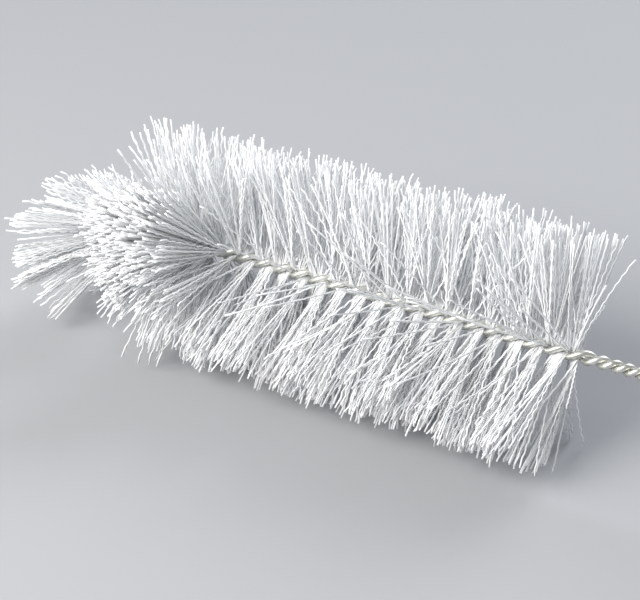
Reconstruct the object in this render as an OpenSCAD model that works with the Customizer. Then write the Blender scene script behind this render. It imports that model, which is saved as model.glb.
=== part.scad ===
// Bottle brush: a galvanised wire bent double round a tuft of nylon filaments and twisted,
// so that its two legs grip rows of filaments, with a bare twisted stem and a hanging eye.
// The brush's axis runs along X. Its tuft points towards -X and its eye towards +X.
// It lies on its bristles: z = 0 is the table, and the origin is under the middle of its length.

/* [Wire] */
// Diameter of the wire
wire_d = 1.6; // [1.3:0.1:2.1]
// Space that the filaments hold open between the two legs inside the head
leg_gap = 0.5; // [0.4:0.05:0.8]
// Space between the two legs on the bare stem
stem_gap = 0.08; // [0.06:0.01:0.2]
// Length of one turn of twist inside the head
head_pitch = 10.6; // [8.5:0.1:14]
// Length of one turn of twist on the bare stem
stem_pitch = 6.2; // [5.6:0.1:9]
// Centreline radius of the bend that holds the tip tuft
bend_r = 2.3; // [1.9:0.1:3]
// Length over which the two legs close up behind the bend
close_len = 6; // [4:0.5:10]

/* [Head] */
// Distance from the axis to the bristles' ends
head_r = 30; // [22:0.5:45]
// Degrees that the wire has turned, from its bend, where the first row leaves it
first_row_turn = 60; // [45:15:105]
// How far the ends of the rows at the tip lean out over the tuft
tip_splay = 18; // [8:1:22]
// Length of the head, from its tip, over which that lean dies away
tip_splay_len = 42; // [30:1:60]
// How far the ends of the last rows lean out over the stem
stem_splay = 6; // [4:1:16]
// Length of the head over which the stem end's lean dies away
stem_splay_len = 30; // [24:1:60]
// Thickness of a row where it leaves the wire
row_root_t = 0.5; // [0.3:0.1:1]
// Space left between neighbouring rows at their ends
row_end_gap = 0.6; // [0.3:0.1:1.5]
// How far the lowest bristles are pressed up by the table
press = 1.2; // [0.6:0.1:2.5]

/* [Tip tuft] */
// Length of the tuft's filaments from the bend
tuft_len = 37; // [28:1:50]
// Angle between the axis and the tuft's outermost filaments
tuft_spread = 50; // [25:1:50]
// Radius of the bunch where it wraps the bend
tuft_root_r = 4; // [3.6:0.1:5]

/* [Stem] */
// Bare stem between the last row and the eye's neck
stem_len = 124; // [80:1:260]
// Length over which the twist tightens behind the head
twist_blend = 8; // [5:1:20]
// Centreline radius of the hanging eye
eye_r = 9; // [7:0.5:16]
// Centreline radius of the bend at the eye's neck
neck_r = 6; // [4.5:0.5:10]

/* [Fits] */
// Clearance of the filaments from the wire between its legs
grip_clear = 0.1; // [0.05:0.05:0.15]
// Clearance of the tuft from the bend, and of the eye's cut end from its neck
seat_clear = 0.3; // [0.2:0.05:0.4]

/* [Hidden] */
ROWS = 22;
ROW_NAMES = [for (i = [1 : ROWS]) str("bristle_row_", i < 10 ? "0" : "", i)];

WIRE_SIDES = 6;
RINGS_PER_TURN = 9;
BEND_RINGS = 6;
ROW_STEP = 15;
// A row ends this many degrees of twist before the next one starts.
ROW_BREAK = 2;
// A six-sided wire this much larger than its circle has nearly the circle's area.
WIRE_SWELL = 1.05;

wire_r = wire_d / 2;
head_leg_r = (wire_d + leg_gap) / 2;
stem_leg_r = (wire_d + stem_gap) / 2;
stem_outer_r = stem_leg_r + wire_r;
half_pitch = head_pitch / 2;
axis_z = head_r - press;
row_root_r = head_leg_r;
row_end_t = half_pitch - row_end_gap;
// How far the tuft reaches back over the wire behind the bend's centre.
tuft_back = 0.8;

// The twist starts gently behind the bend, runs at the head's rate, and tightens on the stem.
twist_ease = close_len;
head_rate = 360 / head_pitch;
stem_rate = 360 / stem_pitch;
head_end = place_of_turn(first_row_turn + 180 * ROWS);
neck_x = head_end + stem_len;

function turned_in_head(s) =
    s < twist_ease ? head_rate * s * s / (2 * twist_ease) : head_rate * (s - twist_ease / 2);
function turned(s) =
    let (b = min(max(s - head_end, 0), twist_blend), rest = max(s - head_end - twist_blend, 0))
    turned_in_head(min(s, head_end)) + head_rate * b
    + (stem_rate - head_rate) * b * b / (2 * twist_blend) + stem_rate * rest;
// Where along the head the wire has turned by angle a.
function place_of_turn(a) =
    a < head_rate * twist_ease / 2 ? sqrt(2 * twist_ease * a / head_rate)
                                   : a / head_rate + twist_ease / 2;

function smooth(u) = let (v = min(max(u, 0), 1)) v * v * (3 - 2 * v);
// Distance of a leg's centre from the twisted pair's own centreline.
function leg_r_at(s) =
    s < head_end ? bend_r + (head_leg_r - bend_r) * smooth(s / close_len)
                 : head_leg_r + (stem_leg_r - head_leg_r) * smooth((s - head_end) / twist_blend);

// The eye: a short bend away from the axis, then a ring round a centre on the axis.
eye_x = neck_x + sqrt(pow(neck_r + eye_r, 2) - pow(neck_r, 2));
neck_rise = asin(neck_r / (neck_r + eye_r));
neck_turn = 90 - neck_rise;
neck_arc = neck_r * neck_turn * PI / 180;
// The ring stops where its cut end reaches the outside of the neck.
end_reach = neck_r + 2 * stem_outer_r + seat_clear;
open_turn = acos((pow(neck_r + eye_r, 2) + pow(eye_r, 2) - pow(end_reach, 2))
                 / (2 * (neck_r + eye_r) * eye_r));
eye_turn = 360 - open_turn;
eye_arc = eye_r * eye_turn * PI / 180;
pair_len = neck_x + neck_arc + eye_arc;

// Centreline of the twisted pair at length s: its place, and its direction in the XY plane.
function heading(s) =
    s < neck_x ? 0
    : s < neck_x + neck_arc ? -(s - neck_x) / neck_r * 180 / PI
    : -neck_turn + (s - neck_x - neck_arc) / eye_r * 180 / PI;
function centre(s) =
    let (h = heading(s))
    s < neck_x ? [s, 0]
    : s < neck_x + neck_arc ? [neck_x - neck_r * sin(h), -neck_r + neck_r * cos(h)]
    : [eye_x + eye_r * sin(h), -eye_r * cos(h)];

// Direction from the centreline to a leg. The lay is left-handed.
function leg_out(s, side) =
    let (h = heading(s), a = side - turned(s))
    [-sin(h) * cos(a), cos(h) * cos(a), sin(a)];
function leg_point(s, side) =
    let (c = centre(s), r = leg_r_at(s), o = leg_out(s, side))
    [c.x + r * o.x, c.y + r * o.y, r * o.z];

// Lengths at which the sweep has a ring: a fixed number for each turn of the twist.
head_rings = ceil(turned(head_end) / 360 * RINGS_PER_TURN);
tail_rings = ceil((turned(pair_len) - turned(head_end)) / 360 * RINGS_PER_TURN);
ring_places = concat(
    [for (i = [0 : head_rings - 1]) place_of_turn(turned(head_end) * i / head_rings)],
    [for (i = [0 : tail_rings]) head_end + (pair_len - head_end) * i / tail_rings]);
last_ring = len(ring_places) - 1;

// One wire: out along one leg to the bend, round it, and back along the other.
path = concat(
    [for (i = [last_ring : -1 : 0]) leg_point(ring_places[i], 0)],
    [for (i = [1 : BEND_RINGS - 1]) let (a = 180 * i / BEND_RINGS) bend_r * [-sin(a), cos(a), 0]],
    [for (i = [0 : last_ring]) leg_point(ring_places[i], 180)]);
outward = concat(
    [for (i = [last_ring : -1 : 0]) leg_out(ring_places[i], 0)],
    [for (i = [1 : BEND_RINGS - 1]) let (a = 180 * i / BEND_RINGS) [-sin(a), cos(a), 0]],
    [for (i = [0 : last_ring]) leg_out(ring_places[i], 180)]);

function unit(v) = v / norm(v);
function ring(i) =
    let (n = len(path) - 1, t = unit(path[min(i + 1, n)] - path[max(i - 1, 0)]),
         u = unit(outward[i] - (outward[i] * t) * t), w = cross(t, u))
    [for (k = [0 : WIRE_SIDES - 1])
        let (a = 360 * (k + 0.5) / WIRE_SIDES)
        path[i] + WIRE_SWELL * wire_r * (cos(a) * u + sin(a) * w)];

// Joins a list of equal rings of points into one closed solid.
module skin(rings) {
    m = len(rings[0]);
    n = len(rings);
    polyhedron(
        points = [for (r = rings) each r],
        faces = concat(
            [[for (k = [m - 1 : -1 : 0]) k]],
            [for (i = [0 : n - 2], k = [0 : m - 1])
                let (a = i * m + k, b = i * m + (k + 1) % m)
                each [[a, b, b + m], [a, b + m, a + m]]],
            [[for (k = [0 : m - 1]) (n - 1) * m + k]]));
}

// Where the end of a row that leaves the wire at x comes to lie along the axis.
function fade(u) = pow(1 - min(max(u, 0), 1), 2);
function row_lean(x) =
    stem_splay * fade((head_end - x) / stem_splay_len) - tip_splay * fade(x / tip_splay_len);

// One side of a row: a helical blade from the wire out to the bristles' ends,
// pressed up where it would pass below the table.
module blade(first_turn, side) {
    turns = concat([for (a = [0 : ROW_STEP : 180 - ROW_STEP]) a], [180 - ROW_BREAK]);
    skin([for (a = turns)
        let (x = place_of_turn(first_turn + a), lean = row_lean(x),
             end_r = sqrt(pow(head_r, 2) - pow(lean, 2)),
             out = 90 + side - first_turn - a)
        [for (c = [[x - row_root_t / 2, row_root_r], [x + lean - row_end_t / 2, end_r],
                   [x + lean + row_end_t / 2, end_r], [x + row_root_t / 2, row_root_r]])
            [c.x, c.y * cos(out), max(c.y * sin(out), -axis_z)]]]);
}

// A row of filaments: they pass between the legs and stand out on both sides over half a turn.
module bristle_row(i) {
    first_turn = first_row_turn + 180 * i;
    middle = first_turn + 90;
    color("white") {
        blade(first_turn, 0);
        blade(first_turn, 180);
        translate([place_of_turn(middle), 0, 0])
            rotate([90 - middle, 0, 0])
                cube([row_root_t, 2.6 * row_root_r, leg_gap - 2 * grip_clear], center = true);
    }
}

// The wire, bent double at the tip, twisted, and ending in the eye.
module core_wire() {
    color("silver") skin([for (i = [0 : len(path) - 1]) ring(i)]);
}

// The slot that the bend of the wire leaves in the bunch folded over it. Behind the bend's centre
// the legs start to turn and to close up before they leave the tuft, so it is wider there.
module bend_slot() {
    half = WIRE_SWELL * wire_r + seat_clear;
    first_place = ring_places[1];
    first_leg = leg_r_at(first_place) * [cos(turned(first_place)), sin(turned(first_place))];
    closing = tuft_back / first_place * (bend_r - first_leg.x);
    rise = tuft_back / first_place * first_leg.y;
    reach = bend_r + half;
    thick = 2 * (half + rise);
    translate([0, 0, -thick / 2]) {
        difference() {
            cylinder(h = thick, r = reach, $fn = 64);
            translate([0, 0, -1]) cylinder(h = thick + 2, r = bend_r - half, $fn = 64);
            translate([0, -2 * reach, -1]) cube([2 * reach, 4 * reach, thick + 2]);
        }
        for (side = [0, 1])
            mirror([0, side, 0])
                translate([0, bend_r - half - closing, 0])
                    cube([2 * reach, 2 * half + closing, thick]);
    }
}

// The tuft: filaments folded over the bend, fanning out in a cone ahead of it.
module tip_tuft() {
    flare = tuft_len * 1.1;
    color("white")
        difference() {
            intersection() {
                rotate([0, -90, 0])
                    rotate_extrude($fn = 96)
                        polygon([[0, -tuft_back], [tuft_root_r, -tuft_back],
                                 [tuft_root_r, tuft_root_r / tan(tuft_spread)],
                                 [flare * tan(tuft_spread), flare], [0, flare]]);
                sphere(r = tuft_len, $fn = 96);
                translate([-2 * tuft_len, -2 * tuft_len, -axis_z])
                    cube([4 * tuft_len, 4 * tuft_len, 4 * tuft_len]);
            }
            bend_slot();
        }
}

// From the bend's centre to the middle of the whole length, and down to the table.
middle_x = (eye_x + eye_r + stem_outer_r - tuft_len) / 2;
module placed() {
    translate([-middle_x, 0, axis_z]) children();
}

placed() core_wire();
placed() tip_tuft();
for (i = [0 : ROWS - 1])
    placed() bristle_row(i);
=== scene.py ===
import math

import bmesh
import bpy
import numpy as np
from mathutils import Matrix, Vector


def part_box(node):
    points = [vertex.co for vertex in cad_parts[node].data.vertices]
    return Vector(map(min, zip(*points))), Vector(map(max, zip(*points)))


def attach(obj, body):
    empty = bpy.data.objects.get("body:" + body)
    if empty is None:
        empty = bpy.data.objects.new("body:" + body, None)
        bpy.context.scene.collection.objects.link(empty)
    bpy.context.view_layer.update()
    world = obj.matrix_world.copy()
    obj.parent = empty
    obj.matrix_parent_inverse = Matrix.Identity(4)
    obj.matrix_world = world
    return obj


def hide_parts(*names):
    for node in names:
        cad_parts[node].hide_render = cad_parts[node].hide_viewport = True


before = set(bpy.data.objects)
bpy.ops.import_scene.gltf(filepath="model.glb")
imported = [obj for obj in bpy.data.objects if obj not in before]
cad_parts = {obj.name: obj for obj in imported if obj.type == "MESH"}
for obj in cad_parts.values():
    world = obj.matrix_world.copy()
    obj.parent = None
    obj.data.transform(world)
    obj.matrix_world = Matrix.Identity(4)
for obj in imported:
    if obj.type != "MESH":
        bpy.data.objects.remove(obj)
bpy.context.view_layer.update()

# The brush lies along X with its tip towards -X. Its axis is a head's radius below the top of a
# row in the middle of the head, and the wire's bend is the tuft's length behind the tip.
head_r = 0.030
tuft_len = 0.037
tuft_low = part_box("tip_tuft")[0]
row_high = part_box("bristle_row_11")[1]
axis_z = row_high.z - head_r
bend_x = tuft_low.x + tuft_len


# The view: from above and in front, turned towards the handle, so that the stem's end of the
# head is the nearer one. A long lens keeps the head's two ends nearly the same size.
view_azimuth = math.radians(29.5)
view_height = math.radians(32)
view_distance = 0.493
towards_camera = Vector((
    math.sin(view_azimuth) * math.cos(view_height),
    -math.cos(view_azimuth) * math.cos(view_height),
    math.sin(view_height),
))
looked_at = Vector((bend_x + 0.0543, -0.0049, axis_z - 0.0025))

camera = bpy.data.objects.new("camera", bpy.data.cameras.new("camera"))
bpy.context.scene.collection.objects.link(camera)
camera.location = looked_at + towards_camera * view_distance
camera.rotation_euler = towards_camera.to_track_quat("Z", "Y").to_euler()
camera.data.sensor_width = 36
camera.data.lens = 112.8
camera.data.clip_start = 0.01
camera.data.clip_end = 20
bpy.context.scene.camera = camera


# The wire: one length of galvanised steel, 1.6 mm thick, bent double round the tuft. Its two
# legs are twisted left-handed, loosely where filaments lie between them and tightly on the
# bare stem, whose end is turned into a hanging eye.
wire_r = 0.0008
stem_len = 0.124
eye_r = 0.009
neck_r = 0.006
cut_end_gap = 0.0003

# A leg's centre is this far from the pair's own centreline: at the bend, in the head, on the stem.
bend_r = 0.0023
head_leg_r = 0.00105
stem_leg_r = 0.00084

# The twist sets in over a short length behind the bend, and tightens where the head ends.
head_rate = 2 * math.pi / 0.0106
stem_rate = 2 * math.pi / 0.0062
close_len = 0.006
twist_blend = 0.008

# The first row starts when the legs have turned this far, and each row takes half a turn.
first_row_turn = math.radians(60)
row_count = sum(name.startswith("bristle_row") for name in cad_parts)


def place_of_turn(turn):
    """How far behind the bend the wire has turned by this angle."""
    if turn < head_rate * close_len / 2:
        return math.sqrt(2 * close_len * turn / head_rate)
    return turn / head_rate + close_len / 2


head_end = place_of_turn(first_row_turn + math.pi * row_count)
neck_x = head_end + stem_len


def turned(s):
    """The angle that the wire has turned at length s from its bend."""
    head = min(s, head_end)
    blend = min(max(s - head_end, 0), twist_blend)
    rest = max(s - head_end - twist_blend, 0)
    turn = head_rate * (head * head / (2 * close_len) if head < close_len else head - close_len / 2)
    tighter = (stem_rate - head_rate) * blend * blend / (2 * twist_blend)
    return turn + head_rate * blend + tighter + stem_rate * rest


def smooth(u):
    """Goes from 0 to 1 with u, level at both ends."""
    u = min(max(u, 0), 1)
    return u * u * (3 - 2 * u)


def leg_offset(s):
    """How far a leg's centre is from the pair's own centreline."""
    if s < head_end:
        return bend_r + (head_leg_r - bend_r) * smooth(s / close_len)
    return head_leg_r + (stem_leg_r - head_leg_r) * smooth((s - head_end) / twist_blend)


# The neck bends aside so that the eye stands centred on the stem, and the eye stops where its cut
# end would meet the neck.
eye_x = neck_x + math.sqrt((neck_r + eye_r) ** 2 - neck_r ** 2)
neck_turn = math.pi / 2 - math.asin(neck_r / (neck_r + eye_r))
cut_end_reach = neck_r + 2 * (stem_leg_r + wire_r) + cut_end_gap
eye_open = math.acos(
    ((neck_r + eye_r) ** 2 + eye_r ** 2 - cut_end_reach ** 2) / (2 * (neck_r + eye_r) * eye_r)
)
pair_len = neck_x + neck_r * neck_turn + eye_r * (2 * math.pi - eye_open)


def leg_point(s, side):
    """A point on the centreline of one leg: side is 0 or half a turn."""
    if s < neck_x:
        heading = 0
        centre = Vector((s, 0, 0))
    elif s < neck_x + neck_r * neck_turn:
        heading = -(s - neck_x) / neck_r
        centre = Vector((neck_x - neck_r * math.sin(heading), neck_r * (math.cos(heading) - 1), 0))
    else:
        heading = (s - neck_x) / eye_r - neck_turn * (1 + neck_r / eye_r)
        centre = Vector((eye_x + eye_r * math.sin(heading), -eye_r * math.cos(heading), 0))
    turn = side - turned(s)
    out = Vector((-math.sin(heading) * math.cos(turn), math.cos(heading) * math.cos(turn), math.sin(turn)))
    return Vector((bend_x, 0, axis_z)) + centre + leg_offset(s) * out


# Stations along the pair, closer together where the twist is tighter.
points_per_turn = 20
longest_step = 0.0006
rate_step = 1e-5
stations = [0.0]
while stations[-1] < pair_len:
    rate = (turned(stations[-1] + rate_step) - turned(stations[-1])) / rate_step
    stations.append(stations[-1] + min(2 * math.pi / (points_per_turn * max(rate, 1)), longest_step))
stations[-1] = pair_len

points_round_bend = 14
round_the_bend = [
    Vector((bend_x - bend_r * math.sin(a), bend_r * math.cos(a), axis_z))
    for a in np.linspace(0, math.pi, points_round_bend)[1:-1]
]
wire_path = [leg_point(s, 0) for s in reversed(stations)] + round_the_bend
wire_path += [leg_point(s, math.pi) for s in stations]

wire_curve = bpy.data.curves.new("wire_path", "CURVE")
wire_curve.dimensions = "3D"
wire_curve.bevel_depth = wire_r
wire_curve.bevel_resolution = 4
wire_curve.use_fill_caps = True
spline = wire_curve.splines.new("POLY")
spline.points.add(len(wire_path) - 1)
for point, centre in zip(spline.points, wire_path):
    point.co = (*centre, 1)
wire_holder = bpy.data.objects.new("wire_path", wire_curve)
wire_mesh = bpy.data.meshes.new_from_object(wire_holder)
bpy.data.objects.remove(wire_holder)
wire = bpy.data.objects.new("wire", wire_mesh)
bpy.context.scene.collection.objects.link(wire)
for face in wire_mesh.polygons:
    face.use_smooth = len(face.vertices) == 4

# Its zinc coat is pale and a little warm, blotched in tone, with a fine grain that changes its gloss.
galvanised = bpy.data.materials.new("galvanised_wire")
galvanised.use_nodes = True
nodes, links = galvanised.node_tree.nodes, galvanised.node_tree.links
metal = nodes["Principled BSDF"]
metal.inputs["Metallic"].default_value = 1.0
place = nodes.new("ShaderNodeTexCoord").outputs["Object"]
blotch = nodes.new("ShaderNodeTexNoise")
blotch.inputs["Scale"].default_value = 420
blotch.inputs["Detail"].default_value = 5
links.new(place, blotch.inputs["Vector"])
tone = nodes.new("ShaderNodeValToRGB")
tone.color_ramp.elements[0].position = 0.32
tone.color_ramp.elements[0].color = (0.62, 0.62, 0.57, 1)
tone.color_ramp.elements[1].position = 0.70
tone.color_ramp.elements[1].color = (0.86, 0.86, 0.80, 1)
links.new(blotch.outputs["Fac"], tone.inputs["Fac"])
links.new(tone.outputs["Color"], metal.inputs["Base Color"])
grain = nodes.new("ShaderNodeTexNoise")
grain.inputs["Scale"].default_value = 2600
grain.inputs["Detail"].default_value = 4
links.new(place, grain.inputs["Vector"])
dullness = nodes.new("ShaderNodeMapRange")
dullness.inputs["From Min"].default_value = 0.3
dullness.inputs["From Max"].default_value = 0.7
dullness.inputs["To Min"].default_value = 0.32
dullness.inputs["To Max"].default_value = 0.50
links.new(grain.outputs["Fac"], dullness.inputs["Value"])
links.new(dullness.outputs["Result"], metal.inputs["Roughness"])
drawn = nodes.new("ShaderNodeBump")
drawn.inputs["Strength"].default_value = 0.25
drawn.inputs["Distance"].default_value = 0.00004
links.new(grain.outputs["Fac"], drawn.inputs["Height"])
links.new(drawn.outputs["Normal"], metal.inputs["Normal"])
wire_mesh.materials.append(galvanised)

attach(wire, "root")
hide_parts("core_wire")


# The filaments: crimped white nylon, about 0.33 mm thick, cut from one tow, so they are all
# alike. One plain filament is modelled here as a three-sided thread with a ring at every crest
# and hollow of its crimp, and every bunch on the brush is laid from copies of it.
crimps = 20
filament_r = 0.00026
blank = bmesh.new()
bmesh.ops.create_circle(blank, segments=3, radius=1)
top = blank.edges[:]
for crimp in range(crimps):
    grown = bmesh.ops.extrude_edge_only(blank, edges=top)["geom"]
    bmesh.ops.translate(blank, vec=(0, 0, 1), verts=[v for v in grown if isinstance(v, bmesh.types.BMVert)])
    top = [e for e in grown if isinstance(e, bmesh.types.BMEdge)]
bmesh.ops.holes_fill(blank, edges=[e for e in blank.edges if e.is_boundary], sides=3)
bmesh.ops.recalc_face_normals(blank, faces=blank.faces[:])
blank_mesh = bpy.data.meshes.new("filament")
blank.to_mesh(blank_mesh)
blank.free()
blank_points = np.array([v.co for v in blank_mesh.vertices])
ring_of = np.rint(blank_points[:, 2]).astype(int)

# White nylon lets a little light in under its skin. Each filament has its own tint, and its gloss
# is cloudy.
nylon = bpy.data.materials.new("white_nylon")
nylon.use_nodes = True
nodes, links = nylon.node_tree.nodes, nylon.node_tree.links
plastic = nodes["Principled BSDF"]
plastic.inputs["IOR"].default_value = 1.53
plastic.inputs["Subsurface Weight"].default_value = 0.35
plastic.inputs["Subsurface Radius"].default_value = (1, 1, 1)
plastic.inputs["Subsurface Scale"].default_value = 0.0002
each = nodes.new("ShaderNodeAttribute")
each.attribute_name = "filament"
tint = nodes.new("ShaderNodeValToRGB")
tint.color_ramp.elements[0].color = (0.92, 0.94, 0.97, 1)
tint.color_ramp.elements[1].color = (0.99, 0.99, 0.99, 1)
links.new(each.outputs["Fac"], tint.inputs["Fac"])
links.new(tint.outputs["Color"], plastic.inputs["Base Color"])
cloud = nodes.new("ShaderNodeTexNoise")
cloud.inputs["Scale"].default_value = 900
links.new(nodes.new("ShaderNodeTexCoord").outputs["Object"], cloud.inputs["Vector"])
gloss = nodes.new("ShaderNodeMapRange")
gloss.inputs["To Min"].default_value = 0.38
gloss.inputs["To Max"].default_value = 0.6
links.new(cloud.outputs["Fac"], gloss.inputs["Value"])
links.new(gloss.outputs["Result"], plastic.inputs["Roughness"])

chance = np.random.default_rng(11)
along_axis = np.array([1.0, 0, 0])


def unit(v):
    """The same directions, one metre long."""
    return v / np.linalg.norm(v, axis=-1, keepdims=True)


def outwards(angle):
    """Directions square to the brush's axis, at these angles round it."""
    return np.stack([np.zeros_like(angle), np.cos(angle), np.sin(angle)], 1)


def lay_filaments(name, node, starts, aims, lengths, bends, crimp_depth):
    """A bunch of filaments as one piece. Each leaves its start along its aim, and its end is carried
    sideways by its bend, as a filament does that its neighbours lean on."""
    count = len(starts)
    bunch = bmesh.new()
    for copy in range(count):
        bunch.from_mesh(blank_mesh)
    mesh = bpy.data.meshes.new(name)
    bunch.to_mesh(mesh)
    bunch.free()

    # Places along the filaments, with the crests of each one's crimp shifted by its own amount.
    shift = chance.uniform(0, 0.9, (count, 1))
    rings = np.arange(crimps + 1)[None, :]
    along = np.where((rings > 0) & (rings < crimps), rings - shift, rings) / crimps
    distance = along * lengths[:, None]
    aims = unit(aims)
    spine = starts[:, None] + aims[:, None] * distance[..., None] + bends[:, None] * (along ** 2)[..., None]

    # The crimp lies in one plane of each filament and swings from side to side of its spine. It is
    # shallow near the root, where the filament is squeezed straight.
    squeezed_len = 0.004
    across = unit(np.cross(aims, unit(chance.normal(size=(count, 3)))))
    over = np.cross(aims, across)
    depth = crimp_depth * chance.uniform(0.6, 1.3, (count, 1))
    swing = np.where(rings % 2 == 0, 1.0, -1.0) * depth * np.clip(distance / squeezed_len, 0.15, 1)
    spine = spine + across[:, None] * swing[..., None]
    thickness = filament_r * chance.uniform(0.86, 1.12, (count, 1, 1))
    section = blank_points[None, :, :2] * thickness
    placed = spine[:, ring_of] + across[:, None] * section[..., :1]
    placed = placed + over[:, None] * section[..., 1:2]

    # What would pass through the table is pressed up onto it: the filaments yield from a little
    # above the table down, and the lowest ends come to lie just on it.
    yields_at = 0.004
    lowest_end = axis_z - 0.0312
    lies_at = 0.0002
    least_height = 0.0001
    z = placed[..., 2]
    pressed = yields_at - (yields_at - z) * (yields_at - lies_at) / (yields_at - lowest_end)
    placed[..., 2] = np.where(z < yields_at, np.maximum(pressed, least_height), z)

    mesh.vertices.foreach_set("co", placed.astype(np.float32).ravel())
    shade = mesh.attributes.new("filament", "FLOAT", "POINT")
    shade.data.foreach_set("value", np.repeat(chance.random(count), len(blank_points)).astype(np.float32))
    mesh.update()
    for face in mesh.polygons:
        face.use_smooth = len(face.vertices) == 4
    mesh.materials.append(nylon)
    piece = bpy.data.objects.new(name, mesh)
    bpy.context.scene.collection.objects.link(piece)
    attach(piece, "root")
    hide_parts(node)


# The rows: each is the nylon caught in one half turn of the twist. A filament passes between
# the legs and stands out on both sides. Neighbours lean together into tapering bunches, and
# along one side they are parted, so that the wire shows between them.
ends_per_row = 110
bunches_per_row = 14
stray_share = 0.08
loose_share = 0.25
parting = math.radians(144)
parting_half = math.radians(48)
back_parting_half = math.radians(24)

# Places behind the bend: the partings open from the first to the second, and the lean over the
# tuft fades from the third to the fourth.
parting_start = 0.021
parting_open = 0.033
splay_start = 0.007
splay_end = 0.042

# How far the first row's ends lean over the tuft, at each angle in degrees from the parting.
lean_over_tuft = {
    -180: 0.0080, -130: 0.0100, -80: 0.0100, -50: 0.0085, -20: 0.0090, -4: 0.0115,
    12: 0.0095, 34: 0.0042, 50: -0.0025, 80: -0.0040, 130: 0.0010, 180: 0.0080,
}

# The tuft has pushed more filaments of the first rows round to one side, where they lie crowded
# over its root: how many of each row.
crowded = (270, 200, 150, 50)

# Strays: a few filaments at the head's two ends have sprung loose from their rows. For each:
# its row, how far it stands from the parting in degrees, its lean and its length.
strays = (
    (1, 84, 0.0010, 0.0330), (1, 90, 0.0030, 0.0340), (1, 78, -0.0020, 0.0335), (2, 88, 0.0010, 0.0340),
    (2, 96, -0.0015, 0.0325), (2, 74, 0.0022, 0.0330), (1, -100, -0.0150, 0.0300),
    (22, -78, 0.0045, 0.0305), (22, -70, 0.0035, 0.0300), (22, -62, 0.0125, 0.0290),
    (22, -52, 0.0100, 0.0210), (22, -84, 0.0050, 0.0180), (21, 92, 0.0060, 0.0260),
    (22, 84, 0.0055, 0.0130), (22, 100, 0.0020, 0.0290),
)


def from_parting(out):
    """How far round the axis a direction is from the parting, between half a turn each way."""
    return (out - parting + math.pi) % (2 * math.pi) - math.pi


def parted(out, root):
    """The direction of a filament, out of the axis, after the partings have pushed it aside. They
    open a little way behind the bend, over a short length."""
    off = from_parting(out)
    opened = np.clip((root - parting_start) / (parting_open - parting_start), 0, 1)
    front = parting_half * opened
    back = math.pi - back_parting_half * opened
    turning = math.radians(100)
    near = front + np.abs(off) * (turning - front) / turning
    far = turning + (np.abs(off) - turning) * (back - turning) / (math.pi - turning)
    return parting + np.sign(off) * np.where(np.abs(off) < turning, near, far)


def row_lean(root, out):
    """How far along the axis the end of a filament lies from its root. The first rows lean over the
    tuft, and all are combed a little to the tip, most of all those at the back near the stem."""
    over_tuft = np.interp(
        np.degrees(from_parting(out)), list(lean_over_tuft), list(lean_over_tuft.values())
    )
    near_tip = np.clip((splay_end - root) / (splay_end - splay_start), 0, 1) ** 1.25
    near_stem = np.clip(1 - (head_end - root) / 0.04, 0, 1)
    behind = np.clip(-np.cos(out - parting), 0, 1)
    combed = 0.0012 * np.clip(root / 0.03, 0, 1) + (0.0020 + 0.0040 * behind) * near_stem
    return -over_tuft * near_tip - combed


def bunched_ends(row):
    """The roots, directions, leans and lengths of a row's own filaments, gathered in bunches. Every
    second bunch stands on the wire's other side, and the rows at the head's two ends are more even."""
    first_turn = first_row_turn + math.pi * row
    unsteady = min(0.5 + row / 8, 1, 0.5 + (row_count - 1 - row) / 6)
    bunch = chance.integers(0, bunches_per_row, ends_per_row)
    bunch_turn = (np.arange(bunches_per_row) // 2 + chance.uniform(0.2, 0.8, bunches_per_row)) * 2
    bunch_turn = bunch_turn / bunches_per_row
    bunch_lean = chance.normal(0, 0.0039, bunches_per_row)
    bunch_veer = chance.normal(0, 0.07, bunches_per_row)
    bunch_long = chance.normal(-0.0003, 0.0010, bunches_per_row)
    turn = first_turn + math.pi * np.clip(bunch_turn[bunch] + chance.normal(0, 0.045, ends_per_row), 0, 1)
    side = np.where(bunch % 2 == 0, 0, math.pi)
    root = np.array([place_of_turn(t) for t in turn])
    out = math.pi / 2 + side - turn + bunch_veer[bunch] + chance.normal(0, 0.07, ends_per_row)

    # A few filaments escape the parting, some of them across the wire, and lean far to the tip.
    stray = chance.random(ends_per_row) < stray_share
    out = np.where(stray, out, parted(out, root))
    own_lean = np.where(chance.random(ends_per_row) < loose_share, 0.0052, 0.0019)
    own_lean = bunch_lean[bunch] + chance.normal(0, 1, ends_per_row) * own_lean
    lean = row_lean(root, out) + own_lean * unsteady
    lean = lean - np.where(stray, chance.uniform(0.004, 0.014, ends_per_row), 0)
    longer = bunch_long[bunch] + chance.normal(-0.0003, 0.0006, ends_per_row)
    return root, out, lean, head_r + np.clip(longer, -0.004, 0.0005)


def crowded_ends(row, count):
    """The same for the filaments that lie crowded over the tuft's root, in a wedge round the parting
    that narrows from row to row."""
    root = chance.uniform(0.0074, 0.0120, count) + 0.0045 * row
    out = parting + np.radians(chance.uniform(-15 - 2 * row, 47 - 8 * row, count))
    lean = row_lean(root, out) + chance.normal(0, 0.0012, count)
    return root, out, lean, head_r + np.minimum(chance.normal(-0.0012, 0.0010, count), 0.0004)


def stray_end(row, off, lean, length):
    """The same for one stray, rooted where the twist of its row points it that way."""
    out = parting + math.radians(off)
    first_turn = first_row_turn + math.pi * row
    turn_back = (math.pi / 2 - parting - math.radians(off) - first_turn) % math.pi
    return [place_of_turn(first_turn + turn_back)], [out], [lean], [length]


# Beside the bend the first filaments stand a little apart, where one leg of the wire comes out.
gap_place = math.radians(19)
gap_push = math.radians(9)
gap_fade = math.radians(12)
gap_end = 0.013

# A filament leaves the axis less slanted than it ends, and its bend makes up the difference.
root_r = 0.0003
most_slant = 0.75
root_slant_share = 0.75

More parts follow.
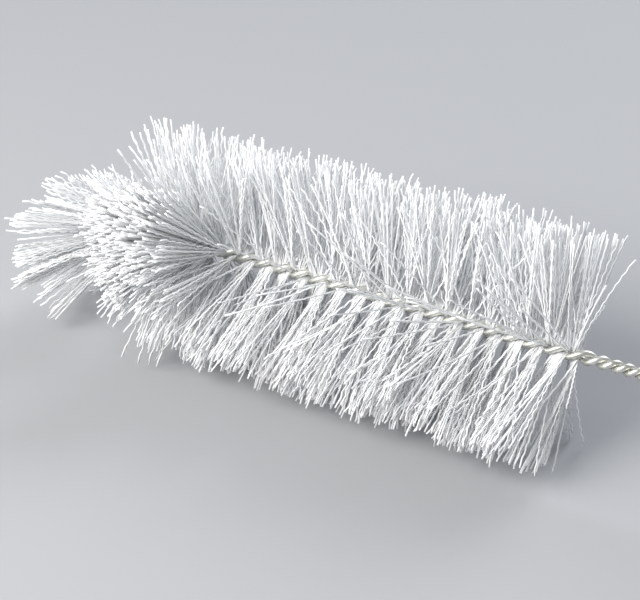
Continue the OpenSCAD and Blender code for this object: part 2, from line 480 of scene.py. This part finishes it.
for row in range(row_count):
    ends = [bunched_ends(row)]
    if row < len(crowded):
        ends.append(crowded_ends(row, crowded[row]))
    ends += [stray_end(row, *stray) for stray_row, *stray in strays if stray_row == row + 1]
    root, out, lean, length = (np.concatenate(part) for part in zip(*ends))

    starts = np.stack([bend_x + root, np.zeros_like(root), np.full_like(root, axis_z)], 1)
    starts = starts + outwards(out) * root_r
    slant = np.clip(lean / head_r, -most_slant, most_slant)
    ends_at = unit(outwards(out) + along_axis * slant[:, None]) * length[:, None]
    gap_off = from_parting(out) - gap_place
    aside = np.sign(gap_off) * gap_push * np.exp(-(gap_off / gap_fade) ** 2) * (root < gap_end)
    aims = unit(outwards(out + aside) + along_axis * (slant * root_slant_share)[:, None])
    wander = np.clip(chance.normal(0, 0.0006, (len(out), 3)), -0.0009, 0.0009)
    bends = ends_at - aims * length[:, None] + wander
    name = f"bristle_row_{row + 1:02d}"
    lay_filaments(f"filaments_{row + 1:02d}", name, starts, aims, length, bends, 0.00015)


# The tip tuft: a bunch of longer filaments, folded over the wire's bend. Both halves are thrown
# forwards and fan out ahead of the tip like a shuttlecock, cut shorter towards the upper side.
tuft_count = 380
tuft_bunches = 74
tuft_spread = np.radians(57)
spiral_step = math.radians(137.5)
fuller_side = math.radians(70)
bend_front = 0.0022
longest = tuft_len - 0.0042
shorter_by = 0.021

# The bunches are spread evenly over the cone by a spiral, with more filaments on its lower side.
spiral = np.arange(tuft_bunches)
bunch_off = tuft_spread * np.sqrt((spiral + 0.5) / tuft_bunches) + chance.normal(0, 0.03, tuft_bunches)
bunch_round = parting + spiral * spiral_step + chance.normal(0, 0.10, tuft_bunches)
share = 1.5 + np.sin(bunch_off) * np.cos(bunch_round - parting - fuller_side)
share = share + chance.uniform(-0.5, 0.5, tuft_bunches)
bunch = chance.choice(tuft_bunches, tuft_count, p=share / share.sum())

# Each filament's angle off the axis and its direction round it.
off = bunch_off[bunch] + chance.normal(0, 0.020, tuft_count)
veer = chance.normal(0, 0.022, tuft_count) / np.maximum(np.sin(bunch_off[bunch]), 0.2)
about = bunch_round[bunch] + veer
sideways = outwards(about)
upward = np.sin(off) * np.cos(about - parting + math.pi / 2)
root_off = 0.0006 + 0.0022 * chance.random((tuft_count, 1))
starts = np.array([bend_x - bend_front, 0, axis_z]) + sideways * root_off
cut = longest - shorter_by * np.clip(upward + 0.25, 0, 1)
length = cut + chance.normal(-0.0008, 0.0008, tuft_count) - 0.0025 * chance.random(tuft_count) ** 2

# They leave the bend a little closer to the axis than they end.
bends = sideways * chance.normal(0.0015, 0.0010, (tuft_count, 1))
aims = -along_axis * np.cos(off)[:, None] + sideways * np.sin(off)[:, None] - sideways * 0.04
lay_filaments("filaments_tip", "tip_tuft", starts, aims, length, bends, 0.00021)


# The table and the light: a plain pale sheet, a wide soft lamp in front and above, a weak one
# beside it that reaches in among the filaments, and a cooler one behind.
floor_mesh = bpy.data.meshes.new("floor")
sheet = bmesh.new()
bmesh.ops.create_grid(sheet, x_segments=1, y_segments=1, size=4)
sheet.to_mesh(floor_mesh)
sheet.free()
floor = bpy.data.objects.new("floor", floor_mesh)
bpy.context.scene.collection.objects.link(floor)
table_top = bpy.data.materials.new("table_top")
table_top.use_nodes = True
paint = table_top.node_tree.nodes["Principled BSDF"]
paint.inputs["Base Color"].default_value = (0.40, 0.405, 0.42, 1)
paint.inputs["Roughness"].default_value = 0.7
floor_mesh.materials.append(table_top)


def soft_lamp(name, place, aim, size, power, colour):
    """A round lamp that shines from its place towards its aim."""
    lamp = bpy.data.lights.new(name, "AREA")
    lamp.shape = "DISK"
    lamp.size = size
    lamp.energy = power
    lamp.color = colour
    holder = bpy.data.objects.new(name, lamp)
    holder.location = place
    holder.rotation_euler = (Vector(place) - Vector(aim)).to_track_quat("Z", "Y").to_euler()
    bpy.context.scene.collection.objects.link(holder)


soft_lamp("key_lamp", (-0.36, -0.62, 0.62), (-0.06, 0, 0.03), 0.55, 8.1, (1.0, 0.985, 0.955))
soft_lamp("fill_lamp", (-0.52, -0.40, 0.30), (-0.12, 0, 0.03), 0.50, 1.9, (1.0, 0.985, 0.96))
soft_lamp("back_lamp", (0.10, 0.75, 0.70), (-0.06, 0, 0.03), 0.50, 5.6, (0.90, 0.94, 1.0))
world = bpy.data.worlds.new("studio")
world.use_nodes = True
world.node_tree.nodes["Background"].inputs["Color"].default_value = (0.93, 0.96, 1.0, 1)
world.node_tree.nodes["Background"].inputs["Strength"].default_value = 0.40
bpy.context.scene.world = world
bpy.context.scene.view_settings.view_transform = "Standard"
